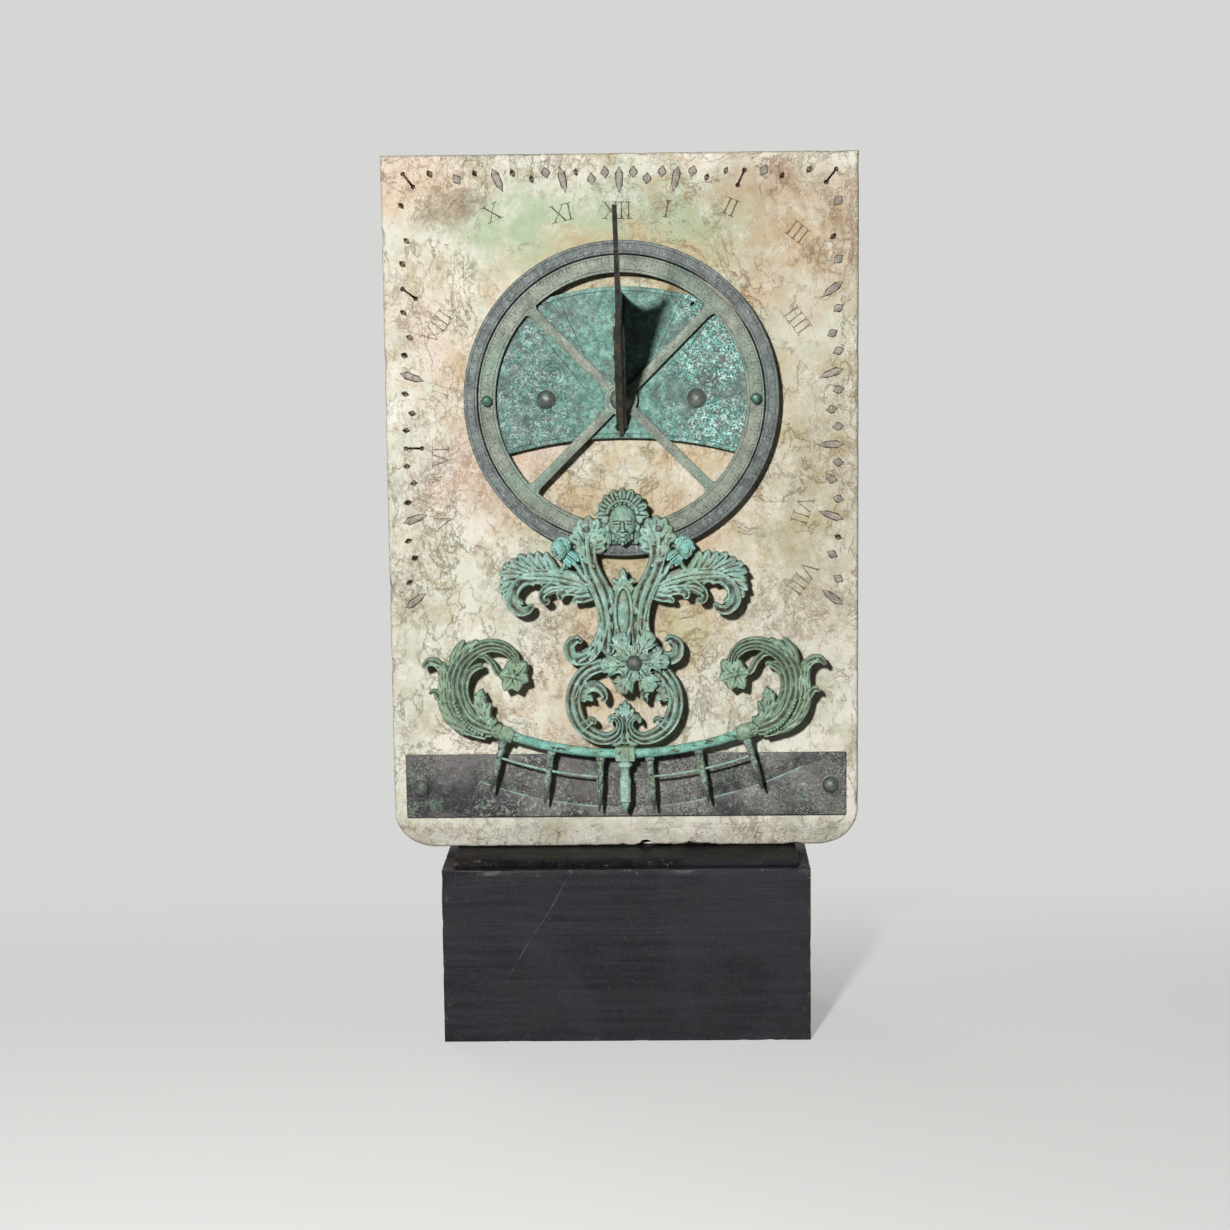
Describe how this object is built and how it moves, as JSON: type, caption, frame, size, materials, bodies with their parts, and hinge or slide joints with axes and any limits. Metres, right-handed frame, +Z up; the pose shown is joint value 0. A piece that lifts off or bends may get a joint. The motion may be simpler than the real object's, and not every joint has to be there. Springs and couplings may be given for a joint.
{
  "type": "sundial",
  "caption": "Upright stone sundial with a bronze gnomon, a fixed ring and an ornate arm that swings on its pivot, on a black plinth.",
  "frame": {"origin": "middle of the plinth's underside", "axes": "+Z up, -Y the front of the dial, +X to the right as seen from the front"},
  "size_m": [0.5, 0.4336, 0.935],
  "materials": {
    "black_paint": "satin black paint with brush marks",
    "bare_wood": "planed",
    "steel": "plain",
    "stone": "weathered",
    "lead": "dull, cast",
    "dark_bronze": "dark patina",
    "blue_bronze": "mottled blue-green patina",
    "fittings": "dark patina",
    "gnomon_bronze": "dark patina",
    "verdigris": "pale verdigris",
    "worn_bronze": "worn patina"
  },
  "bodies": {
    "dial": {"plinth_front_board": "black_paint", "plinth_back_board": "black_paint", "plinth_left_board": "black_paint", "plinth_right_board": "black_paint", "plinth_base_board": "black_paint", "plinth_top_board": "black_paint", "shadow_board": "black_paint", "plinth_corner_blocks": "bare_wood", "slab_dowels": "steel", "fixed_ring_pins": "steel", "stone_slab": "stone", "lead_hour_bars": "lead", "lead_lozenges": "lead", "fixed_ring": "dark_bronze", "scale_plate": "dark_bronze", "fan_plate": "blue_bronze", "fan_plate_spacers": "fittings", "fan_plate_screws": "fittings", "pivot_stud": "fittings", "pivot_cap": "fittings", "gnomon_rivets": "fittings", "scale_bolts": "fittings", "scale_washers": "fittings", "gnomon_blade": "gnomon_bronze", "gnomon_cheek_left": "gnomon_bronze", "gnomon_cheek_right": "gnomon_bronze"},
    "arm": {"spoked_ring": "dark_bronze", "finger_knobs": "fittings", "arm_casting": "verdigris", "arm_rivets": "fittings", "mask": "verdigris", "cherub_left": "verdigris", "cherub_right": "verdigris", "cartouche": "verdigris", "rosette": "verdigris", "rosette_bolt": "fittings", "lower_frame": "verdigris", "round_bar": "verdigris", "bar_collars": "verdigris", "middle_collar": "verdigris", "pendant": "verdigris", "pointer_spikes": "worn_bronze", "tie_wires": "worn_bronze", "end_scroll_left": "verdigris", "end_scroll_right": "verdigris"}
  },
  "joints": [
    {"name": "arm_swing", "type": "hinge", "parent": "dial", "child": "arm", "pos_m": [0, -0.0475, 0.68], "axis": [0, 1, 0], "range_deg": [-10, 10]}
  ]
}
